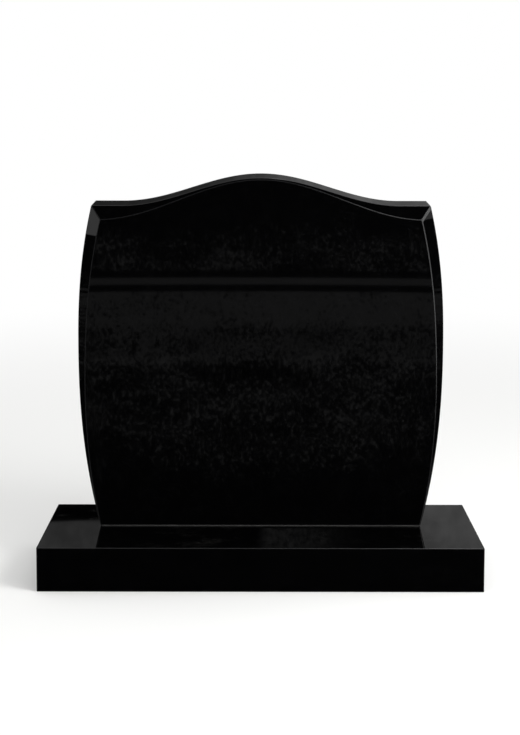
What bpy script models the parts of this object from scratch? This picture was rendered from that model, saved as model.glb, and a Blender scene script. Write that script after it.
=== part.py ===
"""Polished black granite headstone: a bevelled ogee tablet, bedded on a plain base slab.

The origin is at the middle of the underside. X runs across the stone, Y from front to back and Z up.
Heights on the tablet are measured from its foot. Every outline is worked out from the sizes below.
"""

import math

import bmesh
import bpy

# Base slab, in metres
BASE_WIDTH = 0.762
BASE_DEPTH = 0.305
BASE_HEIGHT = 0.076
BASE_ARRIS = 0.002

# Where the tablet stands: the width of base left bare in front of it, and the joint under it
FRONT_LEDGE = 0.146
JOINT_HEIGHT = 0.0015
BED_RECESS = 0.0008
BED_CORNER = 0.004
CLEARANCE = 0.0003

# Tablet outline at its outer edge. The sides bow out between foot and shoulder, and the top is an ogee.
# The bow is a parabola at a fullness of 2, and above that it is flatter in the middle.
TABLET_THICKNESS = 0.075
BOW_WIDTH = 0.646
BOW_HEIGHT = 0.328
BOW_FULLNESS = 2.3
FOOT_WIDTH = 0.572
SHOULDER_WIDTH = 0.5965
SHOULDER_HEIGHT = 0.5715
CROWN_RISE = 0.049
OGEE_HALF_SPAN = 0.246

# The top surface falls towards the front, and the edges round the back have a fine arris
TOP_FALL = 0.005
BACK_ARRIS = 0.0015

# Bevel round the face: its width at each place, and its depth at the mitred shoulders
SIDE_BEVEL_AT_FOOT = 0.0006
SIDE_BEVEL_AT_SHOULDER = 0.0215
TOP_BEVEL_AT_SHOULDER = 0.0245
TOP_BEVEL_AT_CROWN = 0.0035
FACE_OGEE_SPREAD = 0.042
BEVEL_DEPTH = 0.008

# How finely the curves are stepped
SIDE_STEPS = 30
TOP_STEPS = 60

TABLET_FOOT_Z = BASE_HEIGHT + JOINT_HEIGHT
TABLET_FRONT_Y = FRONT_LEDGE - BASE_DEPTH / 2
TABLET_BACK_Y = TABLET_FRONT_Y + TABLET_THICKNESS
FACE_SHOULDER_HEIGHT = SHOULDER_HEIGHT - TOP_BEVEL_AT_SHOULDER


def clear_objects():
    """Empty the file of objects, and of meshes and materials that they leave behind."""
    for item in list(bpy.data.objects):
        bpy.data.objects.remove(item)
    for mesh in list(bpy.data.meshes):
        bpy.data.meshes.remove(mesh)
    for material in list(bpy.data.materials):
        bpy.data.materials.remove(material)


def new_collection(name):
    collection = bpy.data.collections.new(name)
    bpy.context.scene.collection.children.link(collection)
    return collection


def plain_material(name, colour, roughness):
    material = bpy.data.materials.new(name)
    material.use_nodes = True
    shader = material.node_tree.nodes["Principled BSDF"]
    shader.inputs["Base Color"].default_value = (*colour, 1.0)
    shader.inputs["Roughness"].default_value = roughness
    shader.inputs["Metallic"].default_value = 0.0
    return material


def side_half_width(height):
    """Half the tablet's width: widest at BOW_HEIGHT, and drawn in on one smooth curve to foot and shoulder."""
    if height < BOW_HEIGHT:
        reach = BOW_HEIGHT
        end_width = FOOT_WIDTH
    else:
        reach = SHOULDER_HEIGHT - BOW_HEIGHT
        end_width = SHOULDER_WIDTH
    drawn_in = (abs(height - BOW_HEIGHT) / reach) ** BOW_FULLNESS
    return (BOW_WIDTH - (BOW_WIDTH - end_width) * drawn_in) / 2


def ogee(x, half_span):
    """One at the crown and nought past half_span, in a smooth S between them."""
    reach = min(abs(x) / half_span, 1.0)
    return (1 + math.cos(math.pi * reach)) / 2


def top_edge_height(x):
    """Height of the top surface's front edge, where the bevel starts."""
    return SHOULDER_HEIGHT + CROWN_RISE * ogee(x, OGEE_HALF_SPAN)


def face_top_height(x):
    """Height of the face's top edge, which swings wider and higher than the edge above it."""
    rise = CROWN_RISE + TOP_BEVEL_AT_SHOULDER - TOP_BEVEL_AT_CROWN
    return FACE_SHOULDER_HEIGHT + rise * ogee(x, OGEE_HALF_SPAN + FACE_OGEE_SPREAD)


def side_bevel_width(share):
    """Width of the side bevel, growing evenly from the foot (0) to the shoulder (1)."""
    return SIDE_BEVEL_AT_FOOT + (SIDE_BEVEL_AT_SHOULDER - SIDE_BEVEL_AT_FOOT) * share


def side_bevel_depth(share):
    return BEVEL_DEPTH * side_bevel_width(share) / SIDE_BEVEL_AT_SHOULDER


def face_half_width(share):
    return side_half_width(share * FACE_SHOULDER_HEIGHT) - side_bevel_width(share)


def top_bevel_depth(across):
    """Depth of the top bevel, which keeps one slope, so it is shallow where the bevel is narrow."""
    face_x = across * face_half_width(1.0)
    edge_x = across * side_half_width(SHOULDER_HEIGHT)
    return BEVEL_DEPTH * (top_edge_height(edge_x) - face_top_height(face_x)) / TOP_BEVEL_AT_SHOULDER


def ring(side_point, top_point):
    """Points from the right of the foot, up the side, over the top and down the left side."""
    up = [side_point(step / SIDE_STEPS) for step in range(SIDE_STEPS + 1)]
    over = [top_point(1 - 2 * step / TOP_STEPS) for step in range(1, TOP_STEPS)]
    down = [(-x, y, z) for x, y, z in reversed(up)]
    return up + over + down


def face_ring():
    """Outline of the flat face, inside the bevel."""

    def side_point(share):
        return (face_half_width(share), TABLET_FRONT_Y, share * FACE_SHOULDER_HEIGHT)

    def top_point(across):
        x = across * face_half_width(1.0)
        return (x, TABLET_FRONT_Y, face_top_height(x))

    return ring(side_point, top_point)


def edge_ring():
    """Outer edge of the bevel, lying as far back as the bevel is deep."""

    def side_point(share):
        height = share * SHOULDER_HEIGHT
        return (side_half_width(height), TABLET_FRONT_Y + side_bevel_depth(share), height)

    def top_point(across):
        x = across * side_half_width(SHOULDER_HEIGHT)
        return (x, TABLET_FRONT_Y + top_bevel_depth(across), top_edge_height(x))

    return ring(side_point, top_point)


def back_ring(y, inset):
    """Outline near the back, where the top is TOP_FALL higher, drawn in all round by inset."""
    corner_height = SHOULDER_HEIGHT + TOP_FALL

    def side_point(share):
        return (side_half_width(share * corner_height) - inset, y, share * (corner_height - inset))

    def top_point(across):
        x = across * side_half_width(corner_height)
        return (across * (side_half_width(corner_height) - inset), y, top_edge_height(x) + TOP_FALL - inset)

    return ring(side_point, top_point)


def make_tablet(collection):
    """Loft from the face through the bevel and the top surface to the back, as one closed solid."""
    rings = [
        face_ring(),
        edge_ring(),
        back_ring(TABLET_BACK_Y - BACK_ARRIS, 0.0),
        back_ring(TABLET_BACK_Y, BACK_ARRIS),
    ]
    shape = bmesh.new()
    loops = [[shape.verts.new((x, y, z + TABLET_FOOT_Z)) for x, y, z in points] for points in rings]
    for front, behind in zip(loops, loops[1:]):
        for index in range(len(front)):
            after = (index + 1) % len(front)
            shape.faces.new((front[index], behind[index], behind[after], front[after]))
    shape.faces.new(loops[0])
    shape.faces.new(reversed(loops[-1]))
    bmesh.ops.recalc_face_normals(shape, faces=shape.faces)
    mesh = bpy.data.meshes.new("headstone_tablet")
    shape.to_mesh(mesh)
    shape.free()
    mesh.shade_smooth()
    mesh.set_sharp_from_angle(angle=math.radians(12))
    tablet = bpy.data.objects.new("headstone_tablet", mesh)
    collection.objects.link(tablet)
    mesh.materials.append(plain_material("polished_granite_tablet", (0.001, 0.001, 0.0012), 0.05))
    return tablet


def add_box(name, size, centre, collection):
    """A cube primitive brought to size, with its scale applied."""
    bpy.ops.mesh.primitive_cube_add(size=1.0, location=centre)
    box = bpy.context.active_object
    box.name = name
    box.data.name = name
    box.scale = size
    bpy.ops.object.transform_apply(location=False, rotation=False, scale=True)
    for owner in list(box.users_collection):
        owner.objects.unlink(box)
    collection.objects.link(box)
    return box


def make_base(collection):
    """Plain rectangular slab, with a fine rounded arris on every edge."""
    size = (BASE_WIDTH, BASE_DEPTH, BASE_HEIGHT)
    base = add_box("base_slab", size, (0.0, 0.0, BASE_HEIGHT / 2), collection)
    arris = base.modifiers.new("arris", "BEVEL")
    arris.width = BASE_ARRIS
    arris.segments = 2
    base.data.materials.append(plain_material("polished_granite_base", (0.001, 0.001, 0.0012), 0.05))
    return base


def make_bed(collection):
    """Thin bed of setting mortar in the joint, held back from the faces and round at its corners."""
    size = (
        FOOT_WIDTH - 2 * (SIDE_BEVEL_AT_FOOT + BED_RECESS),
        TABLET_THICKNESS - 2 * BED_RECESS,
        JOINT_HEIGHT - 2 * CLEARANCE,
    )
    centre = (0.0, (TABLET_FRONT_Y + TABLET_BACK_Y) / 2, BASE_HEIGHT + JOINT_HEIGHT / 2)
    bed = add_box("jointing_bed", size, centre, collection)
    upright = bed.data.attributes.new("bevel_weight_edge", "FLOAT", "EDGE")
    for edge in bed.data.edges:
        ends = [bed.data.vertices[index].co for index in edge.vertices]
        upright.data[edge.index].value = 1.0 if abs(ends[0].z - ends[1].z) > size[2] / 2 else 0.0
    corners = bed.modifiers.new("corners", "BEVEL")
    corners.limit_method = "WEIGHT"
    corners.width = BED_CORNER
    corners.segments = 4
    bed.data.materials.append(plain_material("setting_mortar", (0.06, 0.059, 0.056), 0.85))
    return bed


def main():
    clear_objects()
    collection = new_collection("Headstone")
    make_base(collection)
    make_bed(collection)
    make_tablet(collection)


main()
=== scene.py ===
"""Looks of a polished black granite headstone: a bevelled ogee tablet, bedded on a plain base slab.

Laid out as a Blender add-on and run as a script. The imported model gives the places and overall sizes. Each
piece is a closed surface worked out with numpy, and each finish is made of shader nodes.
"""

import math

import bpy
import numpy as np
from bpy.props import FloatProperty, FloatVectorProperty, PointerProperty
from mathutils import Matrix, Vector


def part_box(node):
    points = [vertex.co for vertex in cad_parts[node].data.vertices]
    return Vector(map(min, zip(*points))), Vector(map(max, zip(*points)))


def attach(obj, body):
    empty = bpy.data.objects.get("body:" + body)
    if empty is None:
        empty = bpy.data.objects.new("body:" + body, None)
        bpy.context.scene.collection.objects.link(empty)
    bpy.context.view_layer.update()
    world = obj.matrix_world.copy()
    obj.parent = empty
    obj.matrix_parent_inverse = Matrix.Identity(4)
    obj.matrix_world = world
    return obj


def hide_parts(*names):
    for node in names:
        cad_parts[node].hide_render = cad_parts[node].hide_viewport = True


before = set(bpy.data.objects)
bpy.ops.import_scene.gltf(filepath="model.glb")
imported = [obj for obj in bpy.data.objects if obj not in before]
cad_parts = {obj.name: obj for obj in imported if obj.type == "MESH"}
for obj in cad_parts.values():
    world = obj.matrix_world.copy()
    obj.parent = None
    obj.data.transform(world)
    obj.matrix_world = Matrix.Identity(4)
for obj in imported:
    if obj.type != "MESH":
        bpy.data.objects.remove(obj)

bl_info = {
    "name": "Granite Headstone",
    "version": (1, 0, 0),
    "blender": (4, 5, 0),
    "location": "3D View > Sidebar > Headstone",
    "description": "Builds a polished granite headstone with its base, its bed of mortar and a studio",
    "category": "Add Mesh",
}

BODY = "root"

# The frame's boxes: lowest and highest corner of each node, in metres
TABLET_LOW, TABLET_HIGH = (np.array(corner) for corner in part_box("headstone_tablet"))
BASE_LOW, BASE_HIGH = (np.array(corner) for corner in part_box("base_slab"))
BED_LOW, BED_HIGH = (np.array(corner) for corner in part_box("jointing_bed"))

# How finely the surfaces are stepped
SIDE_POINTS = 120
TOP_POINTS = 200
FOOT_POINTS = 60
CORNER_STEPS = 7
ROUND_STEPS = 6
CAP_SHARES = (0.2, 0.45, 0.7, 0.9, 0.985, 0.998)
SPAN_SHARES = (0.03, 0.25, 0.5, 0.75, 0.97)
FLOOR_TURNS = 96

# Largest share of a narrow bevel that the rounding of one of its edges may take
ARRIS_SHARE = 0.4

# Mortar bed, in metres: its corners in plan, and the rounding of its top, its struck edge and its foot
BED_CORNER = 0.004
BED_ROUNDING = (0.0001, 0.0004, 0.0001)

# Waves along the struck edge of the mortar: radians for each metre, strength and phase
BED_WAVES = ((61, 1.0, 0.0), (143, 0.6, 1.3), (307, 0.4, 0.4))

# Floor of the studio, in metres: its rings, and how far it lies under the stone
FLOOR_RINGS = (0.5, 1.0, 2.0, 4.0, 8.0, 16.0)
FLOOR_DROP = 0.0002

GRANITE_IOR = 1.52
CRYSTALS_PER_METRE = 700.0

# Wall mirrored in the base, as sines of elevation: where its tone changes, and the top of its dark shape
WALL_STEP = 0.2250
DARK_SHAPE_TOP = 0.2510

# Ground mirrored in the face, in levels below the horizon: its bright line, and the dark gap round the line
LINE_LEVELS = (-0.1078, -0.1030)
GAP_LEVELS = (-0.1122, -0.0985)

# Steps in the limit that a speck has to pass: the levels where each begins and ends, and its limit at both
SPECK_STEPS = (
    (-0.128, -0.137, 0.39, 0.490),
    (-0.153, -0.160, 0.0, 0.098),
    (-0.195, -0.255, 0.0, 0.17),
    (-0.1045, -0.1035, 0.0, 0.190),
    (-0.088, -0.062, 0.0, 0.16),
)

# Glow mirrored in the ledge by way of the face: lowest and highest sine of elevation, and brightness
GLOW_HEIGHTS = (0.2540, 0.290)
GLOW_STRENGTH = 0.8

# The photograph's frame and the camera that took it
FRAME_HEIGHT_PX = 735
FOCAL_PX = 1598.0
PRINCIPAL_ROW_PX = 279.6
SENSOR_LONG_SIDE_MM = 36.0


def length(name, description, default):
    return FloatProperty(
        name=name, description=description, default=default, min=0.0, unit="LENGTH", precision=4
    )


def colour(name, description, default):
    return FloatVectorProperty(
        name=name, description=description, default=default, subtype="COLOR", size=3, min=0.0, max=1.0
    )


def share(name, description, default, top=1.0):
    return FloatProperty(
        name=name, description=description, default=default, min=0.0, max=top, subtype="FACTOR"
    )


class HeadstoneTabletSizes(bpy.types.PropertyGroup):
    bow_height: length("Bow height", "Height above the foot where the tablet is widest", 0.328)
    bow_fullness: FloatProperty(name="Bow fullness", description="Power of the bow's curve", default=2.3)
    foot_width: length("Foot width", "Width of the tablet at its foot", 0.572)
    shoulder_width: length("Shoulder width", "Width of the tablet at its shoulders", 0.5965)
    shoulder_height: length("Shoulder height", "Height of the top edge at the shoulders", 0.5715)
    crown_rise: length("Crown rise", "How far the crown stands above the shoulders", 0.049)
    ogee_half_span: length("Ogee half span", "From the middle to where the top runs level", 0.246)
    top_fall: length("Top fall", "How far the top surface falls towards the front", 0.005)
    side_bevel_foot: length("Side bevel at foot", "Width of the side bevel at the foot", 0.0006)
    side_bevel_shoulder: length("Side bevel at shoulder", "Width of the side bevel at the shoulder", 0.0215)
    top_bevel_shoulder: length("Top bevel at shoulder", "Width of the top bevel at the shoulders", 0.0245)
    top_bevel_crown: length("Top bevel at crown", "Width of the top bevel at the crown", 0.0035)
    face_ogee_spread: length("Face ogee spread", "How much wider the face's ogee is to each side", 0.042)
    bevel_depth: length("Bevel depth", "How far the bevel falls back at the shoulders", 0.008)
    arris: length("Arris", "Reach of the rounded edges round the face and the bevel", 0.0010)
    back_arris: length("Back arris", "Reach of the rounded edges round the back", 0.0012)
    corner: length("Corner", "Reach of the rounding at the mitred shoulders and the foot", 0.0015)


class HeadstoneBaseSizes(bpy.types.PropertyGroup):
    arris: length("Base arris", "Reach of the rounded edges round the top of the base", 0.0013)
    upright: length("Upright edges", "Reach of the rounding at the upright edges of the base", 0.0019)
    under_arris: length("Lower arris", "Reach of the rounded edges round its underside", 0.0006)
    bed_bulge: length("Bed bulge", "How far the mortar stands out between the two stones", 0.0005)
    bed_waviness: length("Bed waviness", "How unevenly the front of the mortar is struck", 0.0002)


class HeadstoneFinishes(bpy.types.PropertyGroup):
    stone: colour("Stone", "Colour of the polished granite", (0.0005, 0.0005, 0.00055))
    crystal: colour("Crystal", "Colour of the paler crystals in the granite", (0.0018, 0.0018, 0.0020))
    arris: colour("Arris colour", "Colour of the granite where it is only ground", (0.006, 0.006, 0.0064))
    sawn: colour("Sawn colour", "Colour of the sawn underside", (0.075, 0.076, 0.080))
    mortar: colour("Mortar", "Colour of the setting mortar", (0.032, 0.0315, 0.030))
    dust: colour("Dust", "Colour of settled dust", (0.080, 0.078, 0.074))
    polish: share("Polish roughness", "Roughness of the polished faces", 0.018)
    ground: share("Ground roughness", "Roughness of the ground arrises", 0.20)


class HeadstoneStageValues(bpy.types.PropertyGroup):
    floor: colour("Floor", "Colour of the floor", (0.84, 0.84, 0.83))
    camera_distance: length("Camera distance", "From the camera to the middle of the stone", 2.802)
    camera_height: length("Camera height", "Height of the camera above the floor", 0.813)
    camera_side: FloatProperty(
        name="Camera side", description="How far right it stands", default=-0.002, unit="LENGTH"
    )
    camera_pitch: FloatProperty(
        name="Camera pitch", description="How far it looks down", default=math.radians(6.0), subtype="ANGLE"
    )
    camera_roll: FloatProperty(
        name="Camera roll", description="How far it leans to a side", default=-0.00167, subtype="ANGLE"
    )
    background: share("Background", "Brightness of the plain background", 1.0, top=4.0)
    ambient: share("Ambient", "Brightness of the light from all round", 0.95, top=4.0)


def blend(start, corner, end, t):
    """Quadratic curve (1-t)^2 start + 2t(1-t) corner + t^2 end, whose ends both head for the corner."""
    return (1 - t) ** 2 * start + 2 * t * (1 - t) * corner + t**2 * end


def unit(vectors):
    return vectors / np.maximum(np.linalg.norm(vectors, axis=-1, keepdims=True), 1e-9)


def outline_loop(sides, counts, reach):
    """Closed loop through the sides in turn, with a quadratic curve of that reach at each corner.

    A side is a function from shares (k) to points (k, 3). Returns the points, and which lie in a corner.
    """
    spans = []
    for side, count in zip(sides, counts):
        rough = side(np.linspace(0, 1, count))
        cut = reach / np.linalg.norm(np.diff(rough, axis=0), axis=1).sum()
        spans.append(side(np.linspace(cut, 1 - cut, count)))
    t = np.linspace(0, 1, CORNER_STEPS + 2)[1:-1, None]
    points, corners = [], []
    for number, span in enumerate(spans):
        sharp = sides[number](np.array([1.0]))[0]
        following = spans[(number + 1) % len(spans)][0]
        points += [span, blend(span[-1], sharp, following, t)]
        corners += [np.zeros(len(span)), np.ones(CORNER_STEPS)]
    return np.concatenate(points), np.concatenate(corners)


def inward(loop, pole, axis):
    """Unit vectors square to the loop, in the plane across axis, pointing to the side where the pole is."""
    across = unit(np.cross(np.roll(loop, -1, axis=0) - np.roll(loop, 1, axis=0), axis))
    return across if np.sum(across * (pole - loop)) > 0 else -across


def rows_between(loops, reaches, poles, axis):
    """Rows of points (m, n, 3) from one pole to the other over each loop, with every loop's edge rounded.

    Straight stretches run between the loops. At a loop the stretches before and after it meet in the
    quadratic curve of blend, which starts and ends at the loop's reach from the sharp edge. Returns the
    rows, and one mark for each row: 1 in a rounded edge and 0 elsewhere.
    """
    before = [inward(loops[0], poles[0], axis)] + [unit(a - b) for a, b in zip(loops, loops[1:])]
    after = [unit(b - a) for a, b in zip(loops, loops[1:])] + [inward(loops[-1], poles[-1], axis)]
    leave = [loop + reach * way for loop, reach, way in zip(loops, reaches, before)]
    arrive = [loop + reach * way for loop, reach, way in zip(loops, reaches, after)]
    rows = [poles[0] + s * (leave[0] - poles[0]) for s in CAP_SHARES]
    marks = [0.0] * len(CAP_SHARES)
    for number, loop in enumerate(loops):
        for t in np.linspace(0, 1, ROUND_STEPS + 1):
            rows.append(blend(leave[number], loop, arrive[number], t))
            marks.append(1.0 if 0 < t < 1 else 0.0)
        if number + 1 < len(loops):
            rows += [arrive[number] + s * (leave[number + 1] - arrive[number]) for s in SPAN_SHARES]
            marks += [0.0] * len(SPAN_SHARES)
    rows += [poles[-1] + s * (arrive[-1] - poles[-1]) for s in reversed(CAP_SHARES)]
    marks += [0.0] * len(CAP_SHARES)
    return np.stack(rows), np.array(marks)


def closed_surface(name, rows, poles, masks):
    """Mesh over a grid whose rows are closed loops, with a fan to the pole at each end."""
    m, n = rows.shape[:2]
    index = np.arange(m * n).reshape(m, n)
    beside = np.roll(index, -1, axis=1)
    quads = np.stack([index[:-1], index[1:], beside[1:], beside[:-1]], axis=-1).reshape(-1, 4)
    first_fan = np.stack([np.full(n, m * n), index[0], beside[0]], axis=-1)
    last_fan = np.stack([np.full(n, m * n + 1), beside[-1], index[-1]], axis=-1)
    points = np.concatenate([rows.reshape(-1, 3), poles])
    mesh = bpy.data.meshes.new(name)
    mesh.from_pydata(points.tolist(), [], quads.tolist() + first_fan.tolist() + last_fan.tolist())
    for label, (grid, ends) in masks.items():
        layer = mesh.attributes.new(label, "FLOAT", "POINT")
        layer.data.foreach_set("value", np.concatenate([grid.ravel(), ends]).astype(np.float32))
    mesh.shade_smooth()
    mesh.validate()
    piece = bpy.data.objects.new(name, mesh)
    bpy.context.scene.collection.objects.link(piece)
    return piece


def settle(piece, node, material):
    """Dress a finished piece, let it stand for its node and ride on the body."""
    piece.data.materials.append(material)
    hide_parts(node)
    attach(piece, BODY)


class TabletShape:
    """The tablet's curves, in metres above its foot and from its middle, as whole arrays."""

    def __init__(self, sizes):
        self.sizes = sizes
        self.half_bow = (TABLET_HIGH[0] - TABLET_LOW[0]) / 2
        self.face_shoulder = sizes.shoulder_height - sizes.top_bevel_shoulder

    def side(self, height):
        """Half width: half_bow - (half_bow - half_end) (distance from the bow / reach) ^ fullness."""
        sizes = self.sizes
        below = height < sizes.bow_height
        reach = np.where(below, sizes.bow_height, sizes.shoulder_height - sizes.bow_height)
        half_end = np.where(below, sizes.foot_width, sizes.shoulder_width) / 2
        drawn_in = (np.abs(height - sizes.bow_height) / reach) ** sizes.bow_fullness
        return self.half_bow - (self.half_bow - half_end) * drawn_in

    def ogee(self, x, half_span):
        """(1 + cos(pi x / half_span)) / 2, and nought past half_span."""
        return (1 + np.cos(np.pi * np.minimum(np.abs(x) / half_span, 1))) / 2

    def top_edge(self, x):
        return self.sizes.shoulder_height + self.sizes.crown_rise * self.ogee(x, self.sizes.ogee_half_span)

    def face_top(self, x):
        rise = self.sizes.crown_rise + self.sizes.top_bevel_shoulder - self.sizes.top_bevel_crown
        half_span = self.sizes.ogee_half_span + self.sizes.face_ogee_spread
        return self.face_shoulder + rise * self.ogee(x, half_span)

    def side_bevel(self, s):
        """Width of the side bevel: at_foot + (at_shoulder - at_foot) s."""
        at_foot, at_shoulder = self.sizes.side_bevel_foot, self.sizes.side_bevel_shoulder
        return at_foot + (at_shoulder - at_foot) * s

    def at_least_arris(self, width):
        """Root of the sum of squares of the width and the arris, so the bevel never dies out."""
        return np.sqrt(width**2 + self.sizes.arris**2)

    def face_half(self, s):
        return self.side(s * self.face_shoulder) - self.at_least_arris(self.side_bevel(s))


def stand(x, y, z):
    """Points (k, 3) in the frame, from arrays given from the tablet's middle, its front and its foot."""
    x, y, z = np.broadcast_arrays(x, y, z)
    return np.stack([x, TABLET_LOW[1] + y, TABLET_LOW[2] + z], axis=-1)


def tablet_loops(sizes):
    """Outlines of the face, the bevel's outer edge and the back, and which points lie in a corner."""
    shape = TabletShape(sizes)
    thickness = TABLET_HIGH[1] - TABLET_LOW[1]
    edge_corner = shape.side(sizes.shoulder_height)
    face_corner = shape.face_half(1.0)
    back_height = sizes.shoulder_height + sizes.top_fall
    back_corner = shape.side(back_height)

    def bevel_fall(width, full_width):
        return shape.at_least_arris(sizes.bevel_depth * width / full_width)

    def face_side(s):
        return stand(shape.face_half(s), 0.0, sizes.arris + s * (shape.face_shoulder - sizes.arris))

    def face_over(s):
        x = (1 - 2 * s) * face_corner
        return stand(x, 0.0, shape.face_top(x))

    def edge_side(s):
        height = s * sizes.shoulder_height
        fall = bevel_fall(shape.side_bevel(s), sizes.side_bevel_shoulder)
        return stand(shape.side(height), fall, height)

    def edge_over(s):
        x = (1 - 2 * s) * edge_corner
        width = shape.top_edge(x) - shape.face_top((1 - 2 * s) * face_corner)
        return stand(x, bevel_fall(width, sizes.top_bevel_shoulder), shape.top_edge(x))

    def back_side(s):
        return stand(shape.side(s * back_height), thickness, s * back_height)

    def back_over(s):
        x = (1 - 2 * s) * back_corner
        return stand(x, thickness, shape.top_edge(x) + sizes.top_fall)

    loops = []
    mirror = np.array([-1.0, 1.0, 1.0])
    counts = (SIDE_POINTS, TOP_POINTS, SIDE_POINTS, FOOT_POINTS)
    for side, over in ((face_side, face_over), (edge_side, edge_over), (back_side, back_over)):

        def left(s, side=side):
            return side(1 - s) * mirror

        def foot(s, side=side):
            right = side(np.array([0.0]))[0]
            return right * mirror + s[:, None] * (right - right * mirror)

        loops.append(outline_loop((side, over, left, foot), counts, sizes.corner))
    return [points for points, _ in loops], loops[0][1]


def rectangle_loop(low, high, z, reach):
    """Loop round a rectangle at height z, anticlockwise from above, with its corners rounded."""
    right_side = [[high[0], low[1], z], [high[0], high[1], z]]
    left_side = [[low[0], high[1], z], [low[0], low[1], z]]
    corners = np.array(right_side + left_side)

    def side(start, end):
        return lambda s: start + s[:, None] * (end - start)

    sides = [side(corners[k], corners[(k + 1) % 4]) for k in range(4)]
    return outline_loop(sides, (FOOT_POINTS, SIDE_POINTS, FOOT_POINTS, SIDE_POINTS), reach)


def edge_masks(marks, corners, first_edge_row, last_edge_row):
    """Mask that is 1 on rounded edges: in every marked row, and in the corner columns between the caps."""
    grid = np.repeat(marks[:, None], len(corners), axis=1)
    grid[first_edge_row:last_edge_row] = np.maximum(grid[first_edge_row:last_edge_row], corners)
    return grid


class HEADSTONE_OT_tablet(bpy.types.Operator):
    """Build the tablet: flat face, mitred bevel, ogee top and bowed sides, every edge finely rounded"""

    bl_idname = "headstone.tablet"
    bl_label = "Tablet"

    def execute(self, context):
        sizes = context.scene.headstone_tablet
        loops, corners = tablet_loops(sizes)
        widths = np.linalg.norm(loops[1] - loops[0], axis=1)
        face_reach = np.minimum(sizes.arris, ARRIS_SHARE * widths)[:, None]
        reaches = (face_reach, face_reach, sizes.back_arris)
        middle_height = (TABLET_LOW[2] + TABLET_HIGH[2]) / 2
        poles = np.array([[0.0, TABLET_LOW[1], middle_height], [0.0, TABLET_HIGH[1], middle_height]])
        rows, marks = rows_between(loops, reaches, poles, np.array([0.0, 1.0, 0.0]))
        edge_rows = (len(CAP_SHARES) + ROUND_STEPS, len(rows) - len(CAP_SHARES) - ROUND_STEPS)
        arris = edge_masks(marks, corners, *edge_rows)
        sawn = np.zeros_like(arris)
        masks = {"arris": (arris, np.zeros(2)), "sawn": (sawn, np.zeros(2))}
        piece = closed_surface("tablet", rows, poles, masks)
        settle(piece, "headstone_tablet", granite("polished_granite_tablet", 0.0))
        return {"FINISHED"}


class HEADSTONE_OT_base(bpy.types.Operator):
    """Build the base slab, a box with finely rounded edges and a sawn underside"""

    bl_idname = "headstone.base"
    bl_label = "Base slab"

    def execute(self, context):
        sizes = context.scene.headstone_base
        top, corners = rectangle_loop(BASE_LOW, BASE_HIGH, BASE_HIGH[2], sizes.upright)
        under, _ = rectangle_loop(BASE_LOW, BASE_HIGH, BASE_LOW[2], sizes.upright)
        poles = np.array([[0.0, 0.0, BASE_HIGH[2]], [0.0, 0.0, BASE_LOW[2]]])
        reaches = (sizes.arris, sizes.under_arris)
        rows, marks = rows_between([top, under], reaches, poles, np.array([0.0, 0.0, 1.0]))
        edge_rows = (len(CAP_SHARES) + ROUND_STEPS, len(rows) - len(CAP_SHARES) - ROUND_STEPS)
        arris = edge_masks(marks, corners, *edge_rows)
        sawn = np.zeros_like(arris)
        sawn[-len(CAP_SHARES) :] = 1.0
        masks = {"arris": (arris, np.zeros(2)), "sawn": (sawn, np.array([0.0, 1.0]))}
        piece = closed_surface("base", rows, poles, masks)
        settle(piece, "base_slab", granite("polished_granite_base", 0.2))
        return {"FINISHED"}


class HEADSTONE_OT_bed(bpy.types.Operator):
    """Build the bed of setting mortar, which fills the joint and stands a little proud of its own edge"""

    bl_idname = "headstone.bed"
    bl_label = "Bed of mortar"

    def execute(self, context):
        sizes = context.scene.headstone_base
        heights = (TABLET_LOW[2], (TABLET_LOW[2] + BASE_HIGH[2]) / 2, BASE_HIGH[2])
        loops = [rectangle_loop(BED_LOW, BED_HIGH, z, BED_CORNER)[0] for z in heights]
        middle = (BED_LOW + BED_HIGH) / 2
        poles = np.array([[middle[0], middle[1], heights[0]], [middle[0], middle[1], heights[2]]])
        out = -inward(loops[1], middle, np.array([0.0, 0.0, 1.0]))
        along = loops[1][:, 0:1]
        wave = sum(strength * np.sin(rate * along + phase) for rate, strength, phase in BED_WAVES)
        loops[1] = loops[1] + out * (sizes.bed_bulge + sizes.bed_waviness * wave)
        rows, _ = rows_between(loops, BED_ROUNDING, poles, np.array([0.0, 0.0, 1.0]))
        piece = closed_surface("bed", rows, poles, {})
        settle(piece, "jointing_bed", mortar())
        return {"FINISHED"}


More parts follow.
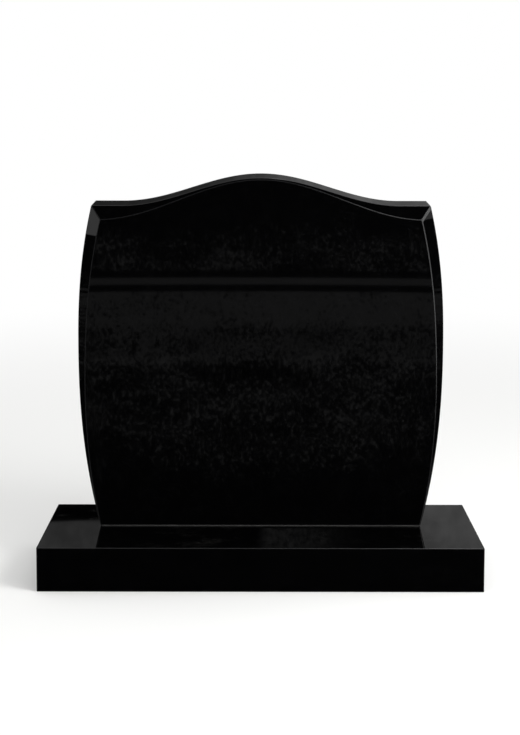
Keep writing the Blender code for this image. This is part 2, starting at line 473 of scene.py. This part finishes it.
class Nodes:
    """Short way to add and join nodes in one tree."""

    def __init__(self, tree):
        self.tree = tree

    def add(self, kind, settings=None, **inputs):
        node = self.tree.nodes.new(kind)
        for key, value in (settings or {}).items():
            setattr(node, key, value)
        for key, value in inputs.items():
            self.put(node, key.replace("_", " "), value)
        return node

    def put(self, node, key, value):
        """Set the named or numbered input, or join an output socket to it."""
        number = int(key[1:]) if key[0] == "i" and key[1:].isdigit() else None
        socket = node.inputs[number] if number is not None else node.inputs[key]
        if isinstance(value, bpy.types.NodeSocket):
            self.tree.links.new(value, socket)
        else:
            socket.default_value = value

    def math(self, operation, *values, clamp=False):
        node = self.add("ShaderNodeMath", {"operation": operation, "use_clamp": clamp})
        for number, value in enumerate(values):
            self.put(node, f"i{number}", value)
        return node.outputs[0]

    def product(self, *values):
        result = values[0]
        for value in values[1:]:
            result = self.math("MULTIPLY", result, value)
        return result

    def total(self, *values):
        result = values[0]
        for value in values[1:]:
            result = self.math("ADD", result, value)
        return result

    def swing(self, factor, first, second):
        """Number that is first where factor is 0 and second where it is 1."""
        node = self.add("ShaderNodeMix", {"data_type": "FLOAT"})
        self.put(node, "i0", factor)
        self.put(node, "i2", first)
        self.put(node, "i3", second)
        return node.outputs[0]

    def mix(self, factor, first, second):
        """Colour mix: first where factor is 0, second where it is 1."""
        node = self.add("ShaderNodeMix", {"data_type": "RGBA"})
        self.put(node, "i0", factor)
        self.put(node, "i6", first)
        self.put(node, "i7", second)
        return node.outputs[2]

    def ramp(self, value, low, high, out_low=0.0, out_high=1.0):
        """Smooth step of value from low to high."""
        node = self.add("ShaderNodeMapRange", {"interpolation_type": "SMOOTHSTEP"})
        for number, item in enumerate((value, low, high, out_low, out_high)):
            self.put(node, f"i{number}", item)
        return node.outputs[0]

    def between(self, value, low, high, soft):
        """One from low to high, fading to nought over soft inside both ends."""
        return self.product(self.ramp(value, low, low + soft), self.ramp(value, high, high - soft))

    def noise(self, vector, scale, detail=2.0, roughness=0.5):
        return self.add(
            "ShaderNodeTexNoise", Vector=vector, Scale=scale, Detail=detail, Roughness=roughness
        ).outputs["Fac"]


def shader_group(name, inputs, outputs):
    """New node group with float or vector sockets, and its nodes, group input and group output."""
    group = bpy.data.node_groups.new(name, "ShaderNodeTree")
    for label, kind, default in inputs:
        socket = group.interface.new_socket(label, in_out="INPUT", socket_type=kind)
        if default is not None:
            socket.default_value = default
    for label, kind in outputs:
        group.interface.new_socket(label, in_out="OUTPUT", socket_type=kind)
    nodes = Nodes(group)
    return group, nodes, nodes.add("NodeGroupInput").outputs, nodes.add("NodeGroupOutput")


def crystal_group():
    """Interlocking crystals: cells of two sizes, a few of them pale, in the stone's own depth."""
    if "Granite crystals" in bpy.data.node_groups:
        return bpy.data.node_groups["Granite crystals"]
    group, nodes, given, result = shader_group(
        "Granite crystals",
        [("Vector", "NodeSocketVector", None), ("Cells per metre", "NodeSocketFloat", CRYSTALS_PER_METRE)],
        [("Crystals", "NodeSocketFloat"), ("Flecks", "NodeSocketFloat")],
    )
    cells = nodes.add("ShaderNodeTexVoronoi", Vector=given[0], Scale=given[1], Randomness=1.0)
    tone = nodes.add("ShaderNodeSeparateColor")
    nodes.put(tone, "i0", cells.outputs["Color"])
    patches = nodes.noise(given[0], 38.0, 3.0, 0.6)
    lit = nodes.math("MULTIPLY", tone.outputs[0], nodes.ramp(patches, 0.35, 0.7, 0.45, 1.0))
    fine_scale = nodes.math("MULTIPLY", given[1], 0.37)
    fine = nodes.add("ShaderNodeTexVoronoi", Vector=given[0], Scale=fine_scale, Randomness=1.0)
    spot = nodes.add("ShaderNodeSeparateColor")
    nodes.put(spot, "i0", fine.outputs["Color"])
    few = nodes.ramp(spot.outputs[1], 0.955, 0.985)
    flecks = nodes.product(few, nodes.ramp(fine.outputs["Distance"], 0.42, 0.25))
    nodes.put(result, "i0", nodes.math("POWER", lit, 2.2))
    nodes.put(result, "i1", flecks)
    return group


def haze_group():
    """Where a polish is less than perfect: broad wiping marks and small dried drops, from 0 to 1."""
    if "Polish haze" in bpy.data.node_groups:
        return bpy.data.node_groups["Polish haze"]
    group, nodes, given, result = shader_group(
        "Polish haze",
        [("Vector", "NodeSocketVector", None), ("Amount", "NodeSocketFloat", 1.0)],
        [("Haze", "NodeSocketFloat")],
    )
    stretched = nodes.add("ShaderNodeMapping", Vector=given[0], Scale=(1.0, 1.0, 0.35))
    wipes = nodes.ramp(nodes.noise(stretched.outputs[0], 9.0, 5.0, 0.62), 0.45, 0.75)
    drops = nodes.ramp(nodes.noise(given[0], 120.0, 2.0, 0.5), 0.66, 0.74)
    both = nodes.math("MAXIMUM", wipes, nodes.math("MULTIPLY", drops, 0.5))
    nodes.put(result, "i0", nodes.math("MULTIPLY", both, given[1], clamp=True))
    return group


def dust_group():
    """Dust that settles on upward faces, in a broken film, from 0 to 1."""
    if "Settled dust" in bpy.data.node_groups:
        return bpy.data.node_groups["Settled dust"]
    group, nodes, given, result = shader_group(
        "Settled dust",
        [("Vector", "NodeSocketVector", None), ("Amount", "NodeSocketFloat", 0.1)],
        [("Dust", "NodeSocketFloat")],
    )
    facing = nodes.add("ShaderNodeSeparateXYZ")
    nodes.put(facing, "i0", nodes.add("ShaderNodeNewGeometry").outputs["Normal"])
    upward = nodes.ramp(facing.outputs[2], 0.6, 0.98)
    film = nodes.ramp(nodes.noise(given[0], 16.0, 5.0, 0.65), 0.52, 0.75)
    grains = nodes.ramp(nodes.noise(given[0], 450.0, 2.0, 0.6), 0.48, 0.62)
    cover = nodes.math("MULTIPLY", nodes.math("MULTIPLY", upward, film), nodes.math("ADD", grains, 0.1))
    nodes.put(result, "i0", nodes.math("MULTIPLY", cover, given[1], clamp=True))
    return group


def new_material(name):
    material = bpy.data.materials.new(name)
    material.use_nodes = True
    nodes = Nodes(material.node_tree)
    shader = material.node_tree.nodes["Principled BSDF"]
    place = nodes.add("ShaderNodeTexCoord").outputs["Object"]
    return material, nodes, shader, place


def use_group(nodes, group, **inputs):
    node = nodes.add("ShaderNodeGroup", {"node_tree": group})
    for key, value in inputs.items():
        nodes.put(node, key.replace("_", " "), value)
    return node.outputs


def rgba(value):
    return (*value, 1.0)


def granite(name, dust_amount):
    """Mirror polished black granite, duller and greyer at its ground edges and its sawn underside."""
    finishes = bpy.context.scene.headstone_finishes
    material, nodes, shader, place = new_material(name)
    arris = nodes.add("ShaderNodeAttribute", {"attribute_name": "arris"}).outputs["Fac"]
    sawn = nodes.add("ShaderNodeAttribute", {"attribute_name": "sawn"}).outputs["Fac"]
    crystals = use_group(nodes, crystal_group(), Vector=place, Cells_per_metre=CRYSTALS_PER_METRE)
    haze = use_group(nodes, haze_group(), Vector=place, Amount=1.0)[0]
    dust = use_group(nodes, dust_group(), Vector=place, Amount=dust_amount)[0]
    pale = nodes.math("ADD", crystals[0], nodes.math("MULTIPLY", crystals[1], 1.4), clamp=True)
    body = nodes.mix(pale, rgba(finishes.stone), rgba(finishes.crystal))
    edged = nodes.mix(arris, body, rgba(finishes.arris))
    cut = nodes.mix(sawn, edged, rgba(finishes.sawn))
    nodes.put(shader, "Base Color", nodes.mix(dust, cut, rgba(finishes.dust)))
    polish = nodes.ramp(haze, 0.0, 1.0, finishes.polish, finishes.polish * 1.4)
    ground = nodes.add("ShaderNodeMapRange", i0=arris, i1=0.0, i2=1.0, i3=polish, i4=finishes.ground)
    rough = nodes.add("ShaderNodeMapRange", i0=sawn, i1=0.0, i2=1.0, i3=ground.outputs[0], i4=0.75)
    dusty = nodes.add("ShaderNodeMapRange", i0=dust, i1=0.0, i2=1.0, i3=rough.outputs[0], i4=0.6)
    nodes.put(shader, "Roughness", dusty.outputs[0])
    shader.inputs["IOR"].default_value = GRANITE_IOR
    unevenness = nodes.noise(place, 5.5, 1.0, 0.4)
    bump = nodes.add("ShaderNodeBump", Strength=0.02, Distance=0.0003, Height=unevenness)
    saw_marks = nodes.noise(place, 260.0, 3.0, 0.6)
    rough_parts = nodes.total(sawn, nodes.product(arris, 0.25))
    marks = nodes.product(saw_marks, rough_parts)
    level = bump.outputs[0]
    marked = nodes.add("ShaderNodeBump", Strength=0.35, Distance=0.0006, Height=marks, Normal=level)
    nodes.put(shader, "Normal", marked.outputs[0])
    return material


def mortar():
    """Dark grey setting mortar: fine sand in a matt paste, uneven in tone."""
    finishes = bpy.context.scene.headstone_finishes
    material, nodes, shader, place = new_material("setting_mortar")
    sand = nodes.noise(place, 1400.0, 3.0, 0.6)
    patches = nodes.noise(place, 45.0, 4.0, 0.6)
    dark = tuple(0.6 * part for part in finishes.mortar)
    light = tuple(min(1.0, 1.35 * part) for part in finishes.mortar)
    tone = nodes.math("ADD", nodes.math("MULTIPLY", sand, 0.6), nodes.math("MULTIPLY", patches, 0.4))
    paste = nodes.mix(nodes.ramp(tone, 0.35, 0.65), rgba(dark), rgba(light))
    dust = use_group(nodes, dust_group(), Vector=place, Amount=0.3)[0]
    nodes.put(shader, "Base Color", nodes.mix(dust, paste, rgba(finishes.dust)))
    nodes.put(shader, "Roughness", nodes.ramp(sand, 0.3, 0.7, 0.75, 0.95))
    grit = nodes.add("ShaderNodeBump", Strength=0.5, Distance=0.0003, Height=sand)
    nodes.put(shader, "Normal", grit.outputs[0])
    return material


def floor_material(values):
    """Plain matt floor that fades into the background far from the stone."""
    material, nodes, shader, place = new_material("studio_floor")
    shader.inputs["Base Color"].default_value = rgba(values.floor)
    shader.inputs["Roughness"].default_value = 0.9
    shader.inputs["Specular IOR Level"].default_value = 0.0
    distance = nodes.add("ShaderNodeVectorMath", {"operation": "LENGTH"}, i0=place)
    fade = nodes.ramp(distance.outputs["Value"], 0.9, 4.0)
    glow = nodes.add("ShaderNodeEmission", Color=(1.0, 1.0, 1.0, 1.0), Strength=values.background)
    mixed = nodes.add("ShaderNodeMixShader")
    nodes.put(mixed, "i0", fade)
    nodes.put(mixed, "i1", shader.outputs[0])
    nodes.put(mixed, "i2", glow.outputs[0])
    output = material.node_tree.nodes["Material Output"]
    nodes.put(output, "Surface", mixed.outputs[0])
    return material


def wall_behind(nodes, place, right, away, height):
    """Wall behind the stone, brighter to the right and to the sides, with a dark shape at its left."""
    low = nodes.ramp(right, -0.12, 0.24, 0.028, 0.215)
    high = nodes.ramp(right, -0.05, 0.12, 0.085, 0.165)
    wall = nodes.swing(nodes.ramp(height, WALL_STEP, WALL_STEP + 0.001), low, high)
    upper = nodes.between(height, WALL_STEP, DARK_SHAPE_TOP, 0.001)
    dark_shape = nodes.product(nodes.ramp(right, -0.075, -0.080), upper)
    sideways = nodes.ramp(nodes.math("ABSOLUTE", right), 0.2, 0.5, 1.0, 8.0)
    mottled = nodes.ramp(nodes.noise(place, 55.0, 4.0, 0.6), 0.35, 0.7, 0.85, 1.3)
    standing = nodes.product(nodes.ramp(away, -0.05, 0.25), nodes.ramp(height, 0.0, 0.03))
    return nodes.product(wall, nodes.math("SUBTRACT", 1.0, dark_shape), sideways, mottled, standing)


def ground_in_front(nodes, place, away, height):
    """Ground far in front, mirrored in the face: a bright line in a dark gap, a band, then scattered specks.

    A speck shows where fine noise, raised or lowered by broad noise, passes a limit. The limit is lowest in
    the band, and grows in steps below it and above the line.
    """
    level = nodes.math("SUBTRACT", height, nodes.ramp(away, -0.98, -0.6, 0.0, 0.072))
    level_streaks = nodes.add("ShaderNodeMapping", Vector=place, Scale=(0.8, 0.8, 2.2)).outputs[0]
    broad = nodes.noise(level_streaks, 24.0, 5.0, 0.65)
    upright = nodes.add("ShaderNodeMapping", Vector=place, Scale=(1.4, 0.3, 0.8)).outputs[0]
    fine = nodes.noise(upright, 620.0, 2.0, 0.6)
    uneven = nodes.total(fine, nodes.product(nodes.math("SUBTRACT", broad, 0.5), 0.42))
    limit = nodes.total(*(nodes.ramp(level, *step) for step in SPECK_STEPS))
    specks = nodes.ramp(nodes.math("SUBTRACT", uneven, limit), 0.0, 0.01)
    gap = nodes.between(level, *GAP_LEVELS, 0.0007)
    ground = nodes.product(specks, nodes.math("SUBTRACT", 1.0, gap))
    line = nodes.between(level, *LINE_LEVELS, 0.0006)
    below = nodes.ramp(level, -0.148, -0.160, 0.125, 0.21)
    above = nodes.ramp(level, -0.100, -0.095, 0.125, 0.19)
    strength = nodes.math("MAXIMUM", below, above)
    return nodes.product(nodes.math("MAXIMUM", line, ground), strength, nodes.ramp(away, -0.3, -0.6))


def glow_in_front(nodes, place, right, away, height):
    """Low speckled glow in front, seen on the ledge by way of the face, and thinning out to the right."""
    spread = nodes.product(nodes.ramp(right, -0.002, 0.006), nodes.ramp(right, 0.070, 0.008))
    grain = nodes.ramp(nodes.noise(place, 760.0, 2.0, 0.65), 0.42, 0.60)
    standing = nodes.product(nodes.between(height, *GLOW_HEIGHTS, 0.002), nodes.ramp(away, -0.90, -0.95))
    return nodes.product(spread, grain, standing, GLOW_STRENGTH)


def soft_surroundings(nodes, right, away, height):
    """Soft light for the polish elsewhere: a ceiling with a bright strip, side walls and a lit floor."""
    aside = nodes.math("ABSOLUTE", right)
    bright_strip = nodes.total(nodes.product(nodes.between(right, 0.07, 0.17, 0.04), 4.0), 0.8)
    ceiling = nodes.product(nodes.ramp(height, 0.68, 0.92), bright_strip)
    beside = nodes.ramp(aside, 0.84, 0.92)
    wall_tone = nodes.ramp(away, -0.4, 0.4, 0.35, 0.8)
    side_wall = nodes.product(beside, nodes.between(height, -0.02, 0.75, 0.35), wall_tone)
    beyond = nodes.ramp(away, -0.94, -0.90)
    open_floor = nodes.product(nodes.ramp(height, -0.26, -0.60, 0.0, 1.6), beyond)
    near = nodes.math("MAXIMUM", nodes.ramp(away, 0.0, 0.3), beside)
    near_floor = nodes.product(nodes.ramp(height, -0.02, -0.35, 0.0, 0.55), near)
    floor_glow = nodes.math("MAXIMUM", open_floor, near_floor)
    return nodes.total(ceiling, side_wall, floor_glow)


def studio_world(values):
    """White to the camera, even and soft to matt surfaces, and dim with soft shapes in the polish.

    The shapes are worked out from a ray's direction: right is its share along X, away its share along Y,
    which is negative in front of the stone, and height its share along Z, the sine of its elevation.
    """
    world = bpy.data.worlds.new("studio")
    world.use_nodes = True
    bpy.context.scene.world = world
    nodes = Nodes(world.node_tree)
    world.node_tree.nodes.clear()
    ray = nodes.add("ShaderNodeLightPath").outputs
    place = nodes.add("ShaderNodeTexCoord").outputs["Generated"]
    direction = nodes.add("ShaderNodeSeparateXYZ")
    nodes.put(direction, "i0", place)
    right, away, height = direction.outputs
    total = nodes.total(
        wall_behind(nodes, place, right, away, height),
        ground_in_front(nodes, place, away, height),
        glow_in_front(nodes, place, right, away, height),
        soft_surroundings(nodes, right, away, height),
    )
    polish = nodes.add("ShaderNodeBackground", Strength=total)
    soft = nodes.add("ShaderNodeBackground", Strength=values.ambient)
    plain = nodes.add("ShaderNodeBackground", Strength=values.background)
    for node in (polish, soft, plain):
        node.inputs["Color"].default_value = (1.0, 1.0, 1.0, 1.0)
    lit = nodes.add("ShaderNodeMixShader")
    nodes.put(lit, "i0", ray["Is Glossy Ray"])
    nodes.put(lit, "i1", soft.outputs[0])
    nodes.put(lit, "i2", polish.outputs[0])
    seen = nodes.add("ShaderNodeMixShader")
    nodes.put(seen, "i0", ray["Is Camera Ray"])
    nodes.put(seen, "i1", lit.outputs[0])
    nodes.put(seen, "i2", plain.outputs[0])
    output = nodes.add("ShaderNodeOutputWorld")
    nodes.put(output, "Surface", seen.outputs[0])


# Soft boxes: name, centre, what it faces, width, height, watts
SOFT_BOXES = (
    ("key", (1.45, -1.05, 1.55), (0.15, 0.0, 0.35), 0.8, 0.8, 26.0),
    ("left_strip", (-2.6, -2.15, 1.49), (-0.3, 0.0, 0.6), 1.1, 1.5, 4.0),
    ("right_strip", (2.6, -2.15, 1.616), (0.3, 0.0, 0.6), 1.1, 1.5, 2.7),
    ("tall_window", (1.30, -1.60, 0.88), (1.30, 0.0, 0.88), 1.20, 1.65, 12.5),
    ("upper_pane", (0.55, -1.60, 1.02), (0.55, 0.0, 1.02), 0.24, 0.5, 1.0),
)


def add_soft_box(name, centre, target, width, height, watts):
    light = bpy.data.lights.new(name, "AREA")
    light.shape = "RECTANGLE"
    light.size, light.size_y = width, height
    light.energy = watts
    box = bpy.data.objects.new(name, light)
    bpy.context.scene.collection.objects.link(box)
    box.location = centre
    way = np.array(target) - np.array(centre)
    flat = math.hypot(way[0], way[1])
    box.rotation_euler = (math.atan2(flat, -way[2]), 0.0, math.atan2(-way[0], way[1]))
    box.visible_camera = False


def add_camera(values):
    """The photograph's viewpoint: a long lens, a little above the crown, looking slightly down."""
    data = bpy.data.cameras.new("camera")
    data.sensor_width = SENSOR_LONG_SIDE_MM
    data.lens = FOCAL_PX * SENSOR_LONG_SIDE_MM / FRAME_HEIGHT_PX
    data.shift_y = -(FRAME_HEIGHT_PX / 2 - PRINCIPAL_ROW_PX) / FRAME_HEIGHT_PX
    camera = bpy.data.objects.new("camera", data)
    bpy.context.scene.collection.objects.link(camera)
    camera.location = (values.camera_side, -values.camera_distance, values.camera_height)
    camera.rotation_euler = (math.pi / 2 - values.camera_pitch, values.camera_roll, 0.0)
    bpy.context.scene.camera = camera


def add_floor(values):
    """Round floor: rings of points about one in the middle, too wide for its rim to be seen."""
    turns = np.linspace(0, 2 * np.pi, FLOOR_TURNS + 1)[:-1]
    rings = np.array(FLOOR_RINGS)
    flat = rings[:, None, None] * np.stack([np.cos(turns), np.sin(turns)], axis=-1)
    points = np.concatenate([flat.reshape(-1, 2), [[0.0, 0.0]]])
    points = np.concatenate([points, np.full((len(points), 1), -FLOOR_DROP)], axis=1)
    index = np.arange(len(rings) * len(turns)).reshape(len(rings), -1)
    beside = np.roll(index, -1, axis=1)
    quads = np.stack([index[:-1], index[1:], beside[1:], beside[:-1]], axis=-1).reshape(-1, 4)
    fan = np.stack([np.full(len(turns), len(points) - 1), index[0], beside[0]], axis=-1)
    mesh = bpy.data.meshes.new("floor")
    mesh.from_pydata(points.tolist(), [], quads.tolist() + fan.tolist())
    mesh.materials.append(floor_material(values))
    floor = bpy.data.objects.new("floor", mesh)
    bpy.context.scene.collection.objects.link(floor)
    floor.visible_glossy = False


class HEADSTONE_OT_stage(bpy.types.Operator):
    """Set up the floor, the soft light and the camera"""

    bl_idname = "headstone.stage"
    bl_label = "Stage"

    def execute(self, context):
        values = context.scene.headstone_stage
        add_floor(values)
        for soft_box in SOFT_BOXES:
            add_soft_box(*soft_box)
        studio_world(values)
        add_camera(values)
        context.scene.view_settings.view_transform = "Standard"
        return {"FINISHED"}


class HEADSTONE_PT_panel(bpy.types.Panel):
    """Sizes, finishes and steps of the headstone"""

    bl_idname = "HEADSTONE_PT_panel"
    bl_label = "Headstone"
    bl_space_type = "VIEW_3D"
    bl_region_type = "UI"
    bl_category = "Headstone"

    def draw(self, context):
        for label, holder in (
            ("Tablet", context.scene.headstone_tablet),
            ("Base and bed", context.scene.headstone_base),
            ("Finishes", context.scene.headstone_finishes),
            ("Stage", context.scene.headstone_stage),
        ):
            box = self.layout.box()
            box.label(text=label)
            for name in holder.__annotations__:
                box.prop(holder, name)
        for operator in STEPS:
            self.layout.operator(operator.bl_idname)


STEPS = (HEADSTONE_OT_tablet, HEADSTONE_OT_base, HEADSTONE_OT_bed, HEADSTONE_OT_stage)
GROUPS = {
    "headstone_tablet": HeadstoneTabletSizes,
    "headstone_base": HeadstoneBaseSizes,
    "headstone_finishes": HeadstoneFinishes,
    "headstone_stage": HeadstoneStageValues,
}


def register():
    for group in GROUPS.values():
        bpy.utils.register_class(group)
    for name, group in GROUPS.items():
        setattr(bpy.types.Scene, name, PointerProperty(type=group))
    for item in (*STEPS, HEADSTONE_PT_panel):
        bpy.utils.register_class(item)


def unregister():
    for item in reversed((*STEPS, HEADSTONE_PT_panel)):
        bpy.utils.unregister_class(item)
    for name, group in reversed(GROUPS.items()):
        delattr(bpy.types.Scene, name)
        bpy.utils.unregister_class(group)


def main():
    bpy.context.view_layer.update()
    register()
    bpy.ops.headstone.tablet()
    bpy.ops.headstone.base()
    bpy.ops.headstone.bed()
    bpy.ops.headstone.stage()


if __name__ == "__main__":
    main()
